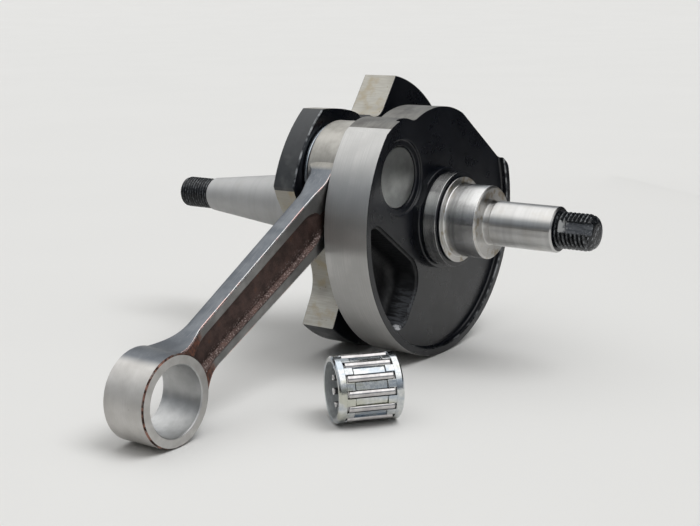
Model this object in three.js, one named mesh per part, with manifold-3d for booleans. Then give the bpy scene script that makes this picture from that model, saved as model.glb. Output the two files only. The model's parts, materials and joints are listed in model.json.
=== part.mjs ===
// Built-up crankshaft of a small single-cylinder two-stroke engine, with its connecting rod,
// its caged big-end bearing and the loose caged bearing of the small end lying beside it.
//
// Millimetres, +Z up. +X runs along the crank axis towards the threaded drive end, and the
// origin is the middle of the flat face that ends that thread. The floor is WEB_R below the axis.
//
// The crank stands in a group whose own +Y is the throw, from the crank axis to the crankpin.
// The rod stands in a group whose own +Y runs from the crankpin to the small end.
import * as THREE from 'three';
import { mergeVertices } from 'three/addons/utils/BufferGeometryUtils.js';
import Module from 'manifold-3d';

const wasm = await Module();
wasm.setup();

// ---- Driving dimensions -------------------------------------------------------------------
const THROW = 25.5;              // half of the 51 mm stroke
const WEB_R = 42;                // both webs
const THROW_TILT = 34.8;         // degrees of the throw above the horizontal, towards -Y
const ROD_LENGTH = 97;
const FIT = 0.05;                // radial clearance of pressed and running fits
const ROUND = 48;                // sides of the large turned surfaces
const DEG = Math.PI / 180;

// Stations along the crank axis, from the outer lip of the drive-side web
const DRIVE_END = 49.3;
const LIP_DEPTH = 2;
const DRIVE_WEB_BACK = -14.5;
const DRIVE_PIN_WALL = -10.3;    // floor of the recess that takes the big end
const FLY_WEB_FRONT = -22;
const FLY_PIN_WALL = -26.3;
const FLY_WEB_BACK = -33.7;
const FLY_END = -103;
const ROD_MID = (DRIVE_PIN_WALL + FLY_PIN_WALL) / 2;

// Crankpin and big end
const PIN_R = 9;
const PIN_INSET = 1.2;           // each pin end below the outer face of its web
const BIG_END_R = 15.4;
const BIG_END_BORE = 12.1;
const BIG_END_WIDTH = 12.6;
const WEB_RECESS_R = 15.8;
const WASHER_R = 14.8;
const WASHER_THICK = 1;
const BIG_ROLLERS = 12;

// Small end and its bearing
const SMALL_END_R = 11.85;
const SMALL_END_BORE = 9.05;
const SMALL_END_WIDTH = 13.3;
const SMALL_NEEDLES = 13;
const SMALL_CAGE_R = 8.75;
const SMALL_CAGE_LENGTH = 17;
const BEARING_HEADING = 50;      // degrees of the loose bearing's axis from +X
const BEARING_PLACE = [14.3, -65.1];

const MATERIALS = {
  forged: new THREE.MeshStandardMaterial({ color: 0x23272c, roughness: 0.55, metalness: 0.7 }),
  forgedFly: new THREE.MeshStandardMaterial({ color: 0x3a3c3e, roughness: 0.5, metalness: 0.7 }),
  pin: new THREE.MeshStandardMaterial({ color: 0x8b8c88, roughness: 0.35, metalness: 0.9 }),
  rod: new THREE.MeshStandardMaterial({ color: 0x8a8682, roughness: 0.4, metalness: 0.85 }),
  washer: new THREE.MeshStandardMaterial({ color: 0x7d8a96, roughness: 0.3, metalness: 0.9 }),
  cage: new THREE.MeshStandardMaterial({ color: 0xc9cdd0, roughness: 0.18, metalness: 0.95 }),
  roller: new THREE.MeshStandardMaterial({ color: 0xd8dadb, roughness: 0.12, metalness: 1.0 }),
};

// ---- Solids ---------------------------------------------------------------------------------

// Closed solid of a closed three.js geometry, with its shared corners merged.
function solidOf(geometry) {
  const bare = new THREE.BufferGeometry();
  bare.setAttribute('position', geometry.getAttribute('position'));
  bare.setIndex(geometry.getIndex());
  const merged = mergeVertices(bare, 1e-4);
  const corners = merged.getIndex().array;
  const kept = [];
  for (let i = 0; i < corners.length; i += 3) {
    const [a, b, c] = [corners[i], corners[i + 1], corners[i + 2]];
    if (a !== b && b !== c && c !== a) kept.push(a, b, c);
  }
  return new wasm.Manifold(new wasm.Mesh({
    numProp: 3,
    vertProperties: new Float32Array(merged.getAttribute('position').array),
    triVerts: new Uint32Array(kept),
  }));
}

function geometryOf(solid) {
  const mesh = solid.getMesh();
  const geometry = new THREE.BufferGeometry();
  geometry.setAttribute('position', new THREE.BufferAttribute(mesh.vertProperties, 3));
  geometry.setIndex(new THREE.BufferAttribute(mesh.triVerts, 1));
  return geometry;
}

// Solid turned about the X axis: stations are [x, radius] pairs going towards +X along the
// outside, and back along the bore where the piece has one.
function turned(stations, sides = ROUND) {
  const profile = stations.map(([x, radius]) => new THREE.Vector2(radius, x));
  return solidOf(new THREE.LatheGeometry(profile, sides).rotateZ(-90 * DEG));
}

function disc(x0, x1, radius, sides = ROUND) {
  return turned([[x0, 0], [x0, radius], [x1, radius], [x1, 0]], sides);
}

function tube(x0, x1, outer, bore, sides = ROUND) {
  return turned([[x0, bore], [x0, outer], [x1, outer], [x1, bore], [x0, bore]], sides);
}

// Solid of one outline in the Y-Z plane, reaching from x0 to x1.
function prism(outline, x0, x1) {
  const geometry = new THREE.ExtrudeGeometry(outline, {
    depth: x1 - x0,
    bevelEnabled: false,
    curveSegments: 24,
  });
  const alongX = new THREE.Matrix4().makeBasis(
    new THREE.Vector3(0, 1, 0), new THREE.Vector3(0, 0, 1), new THREE.Vector3(1, 0, 0));
  return solidOf(geometry.applyMatrix4(alongX).translate(x0, 0, 0));
}

function block([x0, y0, z0], [x1, y1, z1]) {
  const box = new THREE.BoxGeometry(x1 - x0, y1 - y0, z1 - z0);
  return solidOf(box.translate((x0 + x1) / 2, (y0 + y1) / 2, (z0 + z1) / 2));
}

function piece(name, solid, material) {
  const mesh = new THREE.Mesh(geometryOf(solid), material);
  mesh.name = name;
  return mesh;
}

// V-grooved thread as turned stations from x0 to x1, ending at a root at both ends.
function threadStations(x0, x1, radius, pitch, depth) {
  const count = Math.floor((x1 - x0) / pitch);
  const spare = x1 - x0 - count * pitch;
  const stations = [[x0, radius - depth]];
  for (let i = 0; i < count; i += 1) {
    stations.push([x0 + spare + (i + 0.5) * pitch, radius]);
    stations.push([x0 + spare + (i + 1) * pitch, radius - depth]);
  }
  return stations;
}

// ---- Drive-side half of the crank -------------------------------------------------------------

const INTAKE_ARC_R = 33.2;       // the cut-away edge that opens the rotary intake
const INTAKE_FLAT = 32.7;
const PIN_BOSS_R = 16.9;

function driveWebOutline() {
  const flatStart = Math.PI + Math.asin(INTAKE_FLAT / WEB_R);
  const arcStart = -Math.asin(INTAKE_FLAT / INTAKE_ARC_R);
  const outline = new THREE.Shape();
  outline.absarc(0, 0, WEB_R, -7.4 * DEG, flatStart, false);
  outline.absarc(0, 0, INTAKE_ARC_R, arcStart, -30 * DEG, false);
  outline.absarc(THROW, 0, PIN_BOSS_R, -78.9 * DEG, -18.5 * DEG, false);
  return outline;
}

// Blind balance pocket beside the pin: part of a disc with two straight walls and round corners.
function balancePocket() {
  const [outerR, sideWall, hubWall, floor] = [38, 17.5, -0.5, -10.5];
  const [sideCorner, hubCorner, innerCorner] = [3.6, 5, 8];
  const atSide = Math.asin((sideWall + sideCorner) / (outerR - sideCorner));
  const atHub = Math.acos((hubWall + hubCorner) / (outerR - hubCorner));
  const sideCornerY = (outerR - sideCorner) * Math.cos(atSide);
  const hubCornerZ = (outerR - hubCorner) * Math.sin(atHub);
  const outline = new THREE.Shape();
  outline.absarc(sideCornerY, sideWall + sideCorner, sideCorner, -Math.PI / 2, atSide, false);
  outline.absarc(0, 0, outerR, atSide, atHub, false);
  outline.absarc(hubWall + hubCorner, hubCornerZ, hubCorner, atHub, Math.PI, false);
  outline.absarc(hubWall + innerCorner, sideWall + innerCorner, innerCorner, Math.PI, 1.5 * Math.PI,
    false);
  return prism(outline, floor, 1);
}

function pinBore(x0, x1, radius) {
  return disc(x0, x1, radius).translate([0, THROW, 0]);
}

// Drive shaft from inside the web: hub, ground ring, oil groove, shoulder lip, bearing seat,
// plain shaft and thread.
function driveShaft() {
  const [root, hubR, hubEnd] = [-8, 15.2, 0.2];
  const [ringR, grooveR, lipR] = [14.2, 12, 12.8];
  const [grooveStart, grooveEnd, shoulder] = [5, 5.3, 5.8];
  const [seatR, seatEnd, seatChamfer] = [10.8, 16.1, 0.5];
  const [neckR, neckEnd, shaftR] = [6.2, 18.2, 6.6];
  const [threadStart, threadR, tipR, tipLength] = [38, 5.3, 3.9, 1.2];
  return turned([
    [root, 0], [root, hubR], [hubEnd, hubR],
    [hubEnd, ringR], [grooveStart, ringR],
    [grooveStart, grooveR], [grooveEnd, grooveR],
    [grooveEnd, lipR], [shoulder, lipR],
    [shoulder, seatR], [seatEnd - seatChamfer, seatR], [seatEnd, seatR - seatChamfer],
    [seatEnd, neckR], [neckEnd, neckR], [neckEnd, shaftR], [threadStart, shaftR],
    ...threadStations(threadStart, DRIVE_END - tipLength, threadR, 1.25, 0.7),
    [DRIVE_END, tipR], [DRIVE_END, 0],
  ]);
}

function driveHalf() {
  const lipWidth = 2.4;
  const [counterboreDepth, counterboreR] = [0.8, 11];
  const slotTurn = 10.8;           // degrees of the thread's slot from the throw
  const threadSlot = block([40, 3.5, -1.6], [DRIVE_END + 1, 7, 1.6]).rotate([slotTurn, 0, 0]);
  return prism(driveWebOutline(), DRIVE_WEB_BACK, 0)
    .subtract(disc(-LIP_DEPTH, 1, WEB_R - lipWidth))
    .add(driveShaft())
    .subtract(balancePocket())
    .subtract(pinBore(DRIVE_WEB_BACK - 1, DRIVE_PIN_WALL, WEB_RECESS_R))
    .subtract(pinBore(DRIVE_WEB_BACK, 1, PIN_R + FIT))
    .subtract(pinBore(-LIP_DEPTH - counterboreDepth, 1, counterboreR))
    .subtract(threadSlot);
}

// ---- Flywheel-side half of the crank ----------------------------------------------------------

// Anchor-shaped web: half-round counterweight with one wing cut lower than the other, and the
// pin boss on a neck between them.
function flyWebOutline() {
  const outline = new THREE.Shape();
  const lowWing = 4.8;
  const highWing = 17.6;
  const low = Math.acos(lowWing / WEB_R);
  const high = Math.acos(highWing / WEB_R);
  outline.absarc(0, 0, WEB_R, low, 2 * Math.PI - high, false);
  outline.lineTo(highWing + 0.4, -25);
  outline.quadraticCurveTo(highWing + 0.8, -21.8, 25, -20.6);
  outline.quadraticCurveTo(32, -17.4, 39.9, -13);
  outline.absarc(0, 0, WEB_R, -18 * DEG, 18 * DEG, false);
  outline.lineTo(31.5, 17.6);
  outline.lineTo(14, 22.8);
  outline.quadraticCurveTo(6.4, 26, lowWing + 0.8, 33);
  outline.closePath();
  return outline;
}

// Flywheel shaft from the tip: domed thread, cone, bearing seat and hub.
function flywheelShaft() {
  const [tipFlatR, dome, threadR] = [3.6, 1.2, 5.1];
  const [coneStart, coneEnd, coneTipR, seatR] = [-50, -90.8, 5.4, 10];
  const [hub, hubR, root] = [FLY_WEB_BACK - 1, 14, FLY_WEB_BACK + 5];
  return turned([
    [FLY_END, 0], [FLY_END, tipFlatR],
    ...threadStations(FLY_END + dome, coneEnd, threadR, 1.1, 0.55),
    [coneEnd, coneTipR], [coneStart, seatR], [hub, seatR],
    [hub, hubR], [root, hubR], [root, 0],
  ]);
}

// Half-moon slot for the flywheel key, cut by a disc on edge.
function keyway() {
  const [cutterR, halfWidth, station, cutterHeight] = [8, 1.5, -72, 12.6];
  return disc(-halfWidth, halfWidth, cutterR, 32)
    .rotate([0, 0, 90])
    .translate([station, 0, -cutterHeight]);
}

function flywheelHalf() {
  const bossRecess = pinBore(FLY_PIN_WALL, 0, 17)
    .add(block([FLY_PIN_WALL, 22, -WEB_R], [0, WEB_R + 1, WEB_R]));
  return prism(flyWebOutline(), FLY_WEB_BACK, FLY_WEB_FRONT)
    .subtract(bossRecess)
    .add(flywheelShaft())
    .subtract(pinBore(FLY_WEB_BACK - 1, 0, PIN_R + FIT))
    .subtract(keyway());
}

// ---- Crankpin and big-end bearing ---------------------------------------------------------------

function crankpin() {
  const x0 = FLY_WEB_BACK + PIN_INSET;
  const x1 = -PIN_INSET;
  const chamfer = 0.4;
  return turned([
    [x0, 0], [x0, PIN_R - chamfer], [x0 + chamfer, PIN_R],
    [x1 - chamfer, PIN_R], [x1, PIN_R - chamfer], [x1, 0],
  ]);
}

// Cage with one window for each roller, centred on the origin.
function cage(length, outer, bore, windows, windowLength, windowWidth) {
  let solid = tube(-length / 2, length / 2, outer, bore, 4 * windows);
  for (let i = 0; i < windows; i += 1) {
    const window = block(
      [-windowLength / 2, -windowWidth / 2, bore - 1], [windowLength / 2, windowWidth / 2, outer + 1]);
    solid = solid.subtract(window.rotate([(360 * i) / windows, 0, 0]));
  }
  return solid;
}

// Rollers of one bearing, spread about the X axis, as meshes of their own.
function rollers(name, count, pitchR, radius, length, material) {
  const shape = geometryOf(turned([
    [-length / 2, 0], [-length / 2, radius - 0.2], [-length / 2 + 0.2, radius],
    [length / 2 - 0.2, radius], [length / 2, radius - 0.2], [length / 2, 0],
  ], 12));
  return Array.from({ length: count }, (_, i) => {
    const mesh = new THREE.Mesh(shape, material);
    const angle = (2 * Math.PI * i) / count;
    mesh.name = `${name}_${i + 1}`;
    mesh.position.set(0, -pitchR * Math.sin(angle), pitchR * Math.cos(angle));
    mesh.rotation.x = angle;
    return mesh;
  });
}

// ---- Connecting rod -----------------------------------------------------------------------------

// H-section shank between the two eyes, in the rod's own frame with the crankpin at the origin.
function shank() {
  const [nearHalf, farHalf, thickness, channelDepth] = [7.8, 6.6, 5.6, 1.7];
  const outline = new THREE.Shape();
  outline.moveTo(8, -11.5);
  outline.quadraticCurveTo(15, -8.2, 24, -nearHalf);
  outline.lineTo(80, -farHalf);
  outline.quadraticCurveTo(86, -farHalf - 0.4, 92, -10.6);
  outline.lineTo(92, 10.6);
  outline.quadraticCurveTo(86, farHalf + 0.4, 80, farHalf);
  outline.lineTo(24, nearHalf);
  outline.quadraticCurveTo(15, 8.2, 8, 11.5);
  outline.closePath();

  const [channelStart, channelEnd] = [19, 83];
  const channel = new THREE.Shape();
  channel.moveTo(channelStart + 3, -4.2);
  channel.lineTo(channelEnd, -3.3);
  channel.quadraticCurveTo(channelEnd + 3, 0, channelEnd, 3.3);
  channel.lineTo(channelStart + 3, 4.2);
  channel.quadraticCurveTo(channelStart, 0, channelStart + 3, -4.2);

  const half = thickness / 2;
  return prism(outline, -half, half)
    .subtract(prism(channel, half - channelDepth, half + 1))
    .subtract(prism(channel, -half - 1, -half + channelDepth));
}

function connectingRod() {
  const bigEye = disc(-BIG_END_WIDTH / 2, BIG_END_WIDTH / 2, BIG_END_R);
  const bigBore = disc(-BIG_END_WIDTH, BIG_END_WIDTH, BIG_END_BORE);
  const smallEye = disc(-SMALL_END_WIDTH / 2, SMALL_END_WIDTH / 2, SMALL_END_R);
  const smallBore = disc(-SMALL_END_WIDTH, SMALL_END_WIDTH, SMALL_END_BORE);
  return shank()
    .add(bigEye)
    .add(smallEye.translate([0, ROD_LENGTH, 0]))
    .subtract(bigBore)
    .subtract(smallBore.translate([0, ROD_LENGTH, 0]));
}

// ---- Assembly -----------------------------------------------------------------------------------

const group = new THREE.Group();
group.position.x = -DRIVE_END;

const crank = new THREE.Group();
crank.rotation.x = Math.PI - THROW_TILT * DEG;
crank.add(
  piece('drive_side_crank_half', driveHalf(), MATERIALS.forged),
  piece('flywheel_side_crank_half', flywheelHalf(), MATERIALS.forgedFly),
);
group.add(crank);

const bigEnd = new THREE.Group();
bigEnd.position.set(0, THROW, 0);
bigEnd.add(piece('crankpin', crankpin(), MATERIALS.pin));
const washerGap = (DRIVE_PIN_WALL - FLY_PIN_WALL - BIG_END_WIDTH) / 4;
for (const [name, side] of [['thrust_washer_drive_side', 1], ['thrust_washer_flywheel_side', -1]]) {
  const middle = ROD_MID + side * (BIG_END_WIDTH / 2 + washerGap);
  const ring = tube(middle - WASHER_THICK / 2, middle + WASHER_THICK / 2, WASHER_R, PIN_R + 0.2);
  bigEnd.add(piece(name, ring, MATERIALS.washer));
}
const bigBearing = new THREE.Group();
bigBearing.position.x = ROD_MID;
bigBearing.add(
  piece('big_end_cage', cage(12, 11.5, 9.6, BIG_ROLLERS, 9.8, 3.2), MATERIALS.cage),
  ...rollers('big_end_roller', BIG_ROLLERS, (PIN_R + BIG_END_BORE) / 2, 1.5, 9.5, MATERIALS.roller),
);
bigEnd.add(bigBearing);
crank.add(bigEnd);

// The rod hangs from the crankpin with its small end on the floor.
const pinY = -THROW * Math.cos(THROW_TILT * DEG);
const pinZ = THROW * Math.sin(THROW_TILT * DEG);
const rodFall = Math.asin((pinZ + WEB_R - SMALL_END_R) / ROD_LENGTH);
const rod = piece('connecting_rod', connectingRod(), MATERIALS.rod);
rod.position.set(ROD_MID, pinY, pinZ);
rod.rotation.x = Math.PI + rodFall;
group.add(rod);

const looseBearing = new THREE.Group();
looseBearing.position.set(...BEARING_PLACE, SMALL_CAGE_R + 0.02 - WEB_R);
looseBearing.rotation.z = BEARING_HEADING * DEG;
looseBearing.add(
  piece('small_end_cage', cage(SMALL_CAGE_LENGTH, SMALL_CAGE_R, 7.3, SMALL_NEEDLES, 12.3, 2.1),
    MATERIALS.cage),
  ...rollers('small_end_needle', SMALL_NEEDLES, 8, 0.97, 12, MATERIALS.roller),
);
group.add(looseBearing);

export default group;
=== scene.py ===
"""Looks of a built-up two-stroke crankshaft, its connecting rod and its loose small-end bearing.

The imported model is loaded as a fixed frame, and each of its nodes is replaced by a finer piece in
the same place. Lengths are millimetres until a piece is made, and metres after that.

The crank frame has x = 0 at the outer lip of the drive-side web, +X towards the drive thread, and
+Y along the throw, from the crank axis to the crankpin. The rod frame has its origin at the middle
of the big end and +Y towards the small end. A bearing's frame has its axis along +X.
"""
import json
from math import acos, asin, atan2, ceil, copysign, cos, degrees, pi, radians, sin, sqrt, tan

import bmesh
import bpy
from mathutils import Matrix, Vector, noise


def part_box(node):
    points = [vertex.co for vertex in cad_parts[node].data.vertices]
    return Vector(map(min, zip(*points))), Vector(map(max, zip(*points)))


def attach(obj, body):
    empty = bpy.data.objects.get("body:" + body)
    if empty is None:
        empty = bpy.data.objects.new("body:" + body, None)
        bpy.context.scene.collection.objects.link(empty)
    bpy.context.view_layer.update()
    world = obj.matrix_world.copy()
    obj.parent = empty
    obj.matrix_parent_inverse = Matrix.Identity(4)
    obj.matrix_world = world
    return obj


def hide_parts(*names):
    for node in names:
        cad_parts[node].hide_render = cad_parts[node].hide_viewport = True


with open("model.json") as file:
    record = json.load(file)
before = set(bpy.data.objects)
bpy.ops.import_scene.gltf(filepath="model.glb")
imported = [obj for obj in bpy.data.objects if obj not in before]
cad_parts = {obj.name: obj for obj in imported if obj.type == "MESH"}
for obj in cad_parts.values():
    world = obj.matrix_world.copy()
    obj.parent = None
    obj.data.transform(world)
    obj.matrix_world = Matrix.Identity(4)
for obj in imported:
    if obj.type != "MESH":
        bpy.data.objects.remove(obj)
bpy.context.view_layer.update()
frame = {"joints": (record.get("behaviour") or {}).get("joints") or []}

MM = 0.001
OWN_PLACE = "own_place"
JOINTS = {joint["name"]: joint for joint in frame["joints"]}
PIN_PLACE = Vector(JOINTS["rod_swing"]["pos_m"])
BEARING_PLACE = Vector(JOINTS["loose_bearing_turn"]["pos_m"])
BEARING_AXIS = Vector(JOINTS["loose_bearing_turn"]["axis"])
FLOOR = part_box("drive_side_crank_half")[0].z

# ---- Driving dimensions, in millimetres ----
DRIVE_END = 49.3
THROW = PIN_PLACE.yz.length / MM
THROW_TILT = atan2(PIN_PLACE.z, -PIN_PLACE.y)
ROD_MID = PIN_PLACE.x / MM + DRIVE_END
WEB_R = 42.0
RIM_BAND = 0.6
LIP_DEPTH = 2.0
LIP_WIDTH = 2.4
DRIVE_WEB_BACK = -14.5
DRIVE_PIN_WALL = -10.3
FLY_WEB_FRONT = -22.0
FLY_PIN_WALL = -26.3
FLY_WEB_BACK = -33.7
FLY_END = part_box("flywheel_side_crank_half")[0].x / MM + DRIVE_END
PIN_R = 9.0
PIN_INSET = 1.2
WEB_RECESS_R = 15.8

ROD_LENGTH = 97.0
BIG_END_R = 15.4
BIG_END_BORE = 12.1
BIG_END_WIDTH = 12.6
SMALL_END_R = 11.85
SMALL_END_BORE = 9.05
SMALL_END_WIDTH = 13.3
SHANK_START, SHANK_END = 24.0, 80.0

# Cages: length, outer and bore radius, bars, window length, bar width, depth of the bars' middle
SMALL_CAGE = (17, 8.75, 7.3, 13, 12.9, 2.0, 0.5)
BIG_CAGE = (12, 11.5, 9.6, 12, 9.9, 2.1, 0.3)
# Rollers: how many, radius of their circle, their own radius and length
SMALL_NEEDLES = (13, 8.0, 0.97, 12.0)
BIG_ROLLERS = (12, (PIN_R + BIG_END_BORE) / 2, 1.5, 9.5)

CRANK_PLACE = Matrix.Translation((-DRIVE_END * MM, 0, 0)) @ Matrix.Rotation(pi - THROW_TILT, 4, "X")
# Turns a shape's X axis to +Z, its Y to +X and its Z to +Y
ALONG_X_TO_Z = Matrix(((0, 1, 0, 0), (0, 0, 1, 0), (1, 0, 0, 0), (0, 0, 0, 1)))

# ---- Material numbers: of both crank halves, and of the rod ----
(BLACK, RIM, MILLED, SHAFT, THREAD, STAINED, FORGED, POCKET, WORN, DULL, SLOT, CONE, HUB) = range(13)
(OUTSIDE, FLANGE, CHANNEL, EYE_FACE, BORE, EDGE, RIDGE) = range(7)
MATERIAL_LIMIT = 13
SHARP_ANGLE = radians(33)

# ---- Outlines and closed meshes ----


def arc(centre, radius, start, end, step=2.5):
    """Points of an arc, angles in degrees, with a point about every step degrees."""
    count = max(2, ceil(abs(end - start) / step))
    angles = [radians(start + (end - start) * i / count) for i in range(count + 1)]
    return [(centre[0] + radius * cos(a), centre[1] + radius * sin(a)) for a in angles]


def bend(start, pull, end, steps=8):
    """Points of a quadratic curve, without its first point."""
    points = []
    for i in range(1, steps + 1):
        t = i / steps
        weights = ((1 - t) ** 2, 2 * t * (1 - t), t * t)
        points.append(tuple(sum(w * p[k] for w, p in zip(weights, (start, pull, end))) for k in (0, 1)))
    return points


def rounded(corners, segments=4):
    """Polyline through (x, y) or (x, y, radius) corners, each radius turned into a short arc."""
    points = []
    for i, corner in enumerate(corners):
        here = Vector(corner[:2])
        if len(corner) == 2:
            points.append(here)
            continue
        to_last = (Vector(corners[i - 1][:2]) - here).normalized()
        to_next = (Vector(corners[(i + 1) % len(corners)][:2]) - here).normalized()
        half_angle = to_last.angle(to_next) / 2
        centre = here + (to_last + to_next).normalized() * corner[2] / sin(half_angle)
        reach = corner[2] / tan(half_angle)
        first = here + to_last * reach - centre
        last = here + to_next * reach - centre
        turns = [first.slerp(last, k / segments).normalized() for k in range(segments + 1)]
        points += [centre + turn * corner[2] for turn in turns]
    return points


def both_ways(half):
    """Corners of half a profile, then their mirror images across x = 0."""
    return half + [(-corner[0], *corner[1:]) for corner in reversed(half)]


def without_repeats(points, gap=1e-4):
    kept = []
    for point in points:
        if not kept or (Vector(point[:2]) - Vector(kept[-1][:2])).length > gap:
            kept.append(point)
    if (Vector(kept[0][:2]) - Vector(kept[-1][:2])).length < gap:
        kept.pop()
    return kept


def mesh_of(build, rule=0):
    """Mesh from a bmesh, its normals out. The rule is a material number, or gives one for each
    face from its centre and normal."""
    bmesh.ops.recalc_face_normals(build, faces=build.faces[:])
    build.normal_update()
    for face in build.faces:
        if callable(rule):
            face.material_index = rule(face.calc_center_median(), face.normal)
        else:
            face.material_index = rule
    mesh = bpy.data.meshes.new("part")
    build.to_mesh(mesh)
    build.free()
    return mesh


def skin(build, rings, closed=False, capped=False):
    """Faces between neighbouring rings of vertices. A ring of one vertex closes an end."""
    pairs = list(zip(rings, rings[1:]))
    if closed:
        pairs.append((rings[-1], rings[0]))
    for low, high in pairs:
        count = max(len(low), len(high))
        for i in range(count):
            j = (i + 1) % count
            corners = []
            for ring, k in ((low, i), (low, j), (high, j), (high, i)):
                vertex = ring[k % len(ring)]
                if vertex not in corners:
                    corners.append(vertex)
            build.faces.new(corners)
    if capped:
        build.faces.new(rings[0])
        build.faces.new(rings[-1])


def lathe(stations, sides=128, closed=False, rule=0):
    """Solid turned about X from (x, radius) points. It ends on the axis, or closes on itself."""
    build = bmesh.new()
    rings = []
    for x, radius in stations:
        if radius == 0:
            rings.append([build.verts.new((x, 0, 0))])
            continue
        turns = [2 * pi * i / sides for i in range(sides)]
        rings.append([build.verts.new((x, radius * cos(t), radius * sin(t))) for t in turns])
    skin(build, rings, closed)
    return mesh_of(build, rule)


def prism(outline, x0, x1, edge=0.3, rule=0):
    """Solid of one Y-Z outline from x0 to x1, with its end edges rounded."""
    build = bmesh.new()
    ends = [[build.verts.new((x, y, z)) for y, z in outline] for x in (x0, x1)]
    for end in ends:
        build.faces.new(end)
    skin(build, ends)
    bmesh.ops.recalc_face_normals(build, faces=build.faces[:])
    if edge:
        rims = [e for e in build.edges if abs(e.verts[0].co.x - e.verts[1].co.x) < 1e-5]
        bmesh.ops.bevel(build, geom=rims, offset=edge, offset_type="OFFSET", segments=3,
                        profile=0.5, affect="EDGES", clamp_overlap=False)
    return mesh_of(build, rule)


def box(low, high, edge):
    build = bmesh.new()
    bmesh.ops.create_cube(build, size=1)
    size = Vector(high) - Vector(low)
    for vertex in build.verts:
        vertex.co = Vector([c * s for c, s in zip(vertex.co, size)]) + (Vector(low) + Vector(high)) / 2
    bmesh.ops.bevel(build, geom=build.edges[:], offset=edge, offset_type="OFFSET", segments=3,
                    profile=0.5, affect="EDGES", clamp_overlap=True)
    return mesh_of(build)


def helix(x0, x1, pitch, crest, depth, limit):
    """Threaded rod from x0 to x1. limit(x) is the most its radius may be at station x."""
    sides = 72
    profile = [(0.0, 0.0), (0.10, 0.0), (0.42, 0.9), (0.48, 1.0), (0.60, 1.0), (0.66, 0.9), (0.97, 0.0)]
    turns = ceil((x1 - x0) / pitch) + 2
    build = bmesh.new()
    columns = []
    for i in range(sides):
        angle = 2 * pi * i / sides
        column = []
        for turn in range(-1, turns):
            for along, height in profile:
                x = min(max(x0 + (turn + along + i / sides) * pitch, x0), x1)
                radius = min(crest - depth * (1 - height), limit(x))
                if x in (x0, x1):
                    radius = min(crest - depth, limit(x))
                spot = (x, radius * cos(angle), radius * sin(angle))
                column.append(build.verts.new(spot))
        columns.append(column)
    shift = len(profile)
    count = len(columns[0])
    for i in range(sides):
        here = columns[i]
        there = columns[(i + 1) % sides]
        offset = shift if i == sides - 1 else 0
        for k in range(count - 1):
            if k + 1 + offset < count:
                build.faces.new((here[k], there[k + offset], there[k + 1 + offset], here[k + 1]))
    bmesh.ops.remove_doubles(build, verts=build.verts[:], dist=1e-5)
    loose = [f for f in build.faces if f.calc_area() < 1e-9]
    bmesh.ops.delete(build, geom=loose, context="FACES")
    open_edges = [e for e in build.edges if e.is_boundary]
    bmesh.ops.holes_fill(build, edges=open_edges, sides=0)
    return mesh_of(build, THREAD)


def added(name, data):
    """New object, linked to the scene."""
    thing = bpy.data.objects.new(name, data)
    bpy.context.scene.collection.objects.link(thing)
    return thing


def moved(mesh, matrix):
    """The same mesh, after its points are moved."""
    mesh.transform(matrix)
    return mesh


def boolean(mesh, other, how):
    """Exact boolean of two closed meshes. Each face keeps its own material index."""
    holders = []
    for data in (mesh, other):
        for _ in range(MATERIAL_LIMIT - len(data.materials)):
            data.materials.append(None)
        holders.append(added("holder", data))
    modifier = holders[0].modifiers.new("boolean", "BOOLEAN")
    modifier.operation = how
    modifier.solver = "EXACT"
    modifier.object = holders[1]
    depsgraph = bpy.context.evaluated_depsgraph_get()
    result = bpy.data.meshes.new_from_object(holders[0].evaluated_get(depsgraph))
    for holder in holders:
        bpy.data.objects.remove(holder)
    return result


def cut(mesh, *cutters):
    """Mesh with each cutter taken away."""
    for cutter in cutters:
        mesh = boolean(mesh, cutter, "DIFFERENCE")
    return mesh


def fused(mesh, *others):
    """One closed mesh of several that overlap."""
    for other in others:
        mesh = boolean(mesh, other, "UNION")
    return mesh


def all_in(*meshes):
    """One mesh holding several separate closed meshes."""
    build = bmesh.new()
    for mesh in meshes:
        build.from_mesh(mesh)
    return mesh_of(build)


# ---- Material nodes ----


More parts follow.
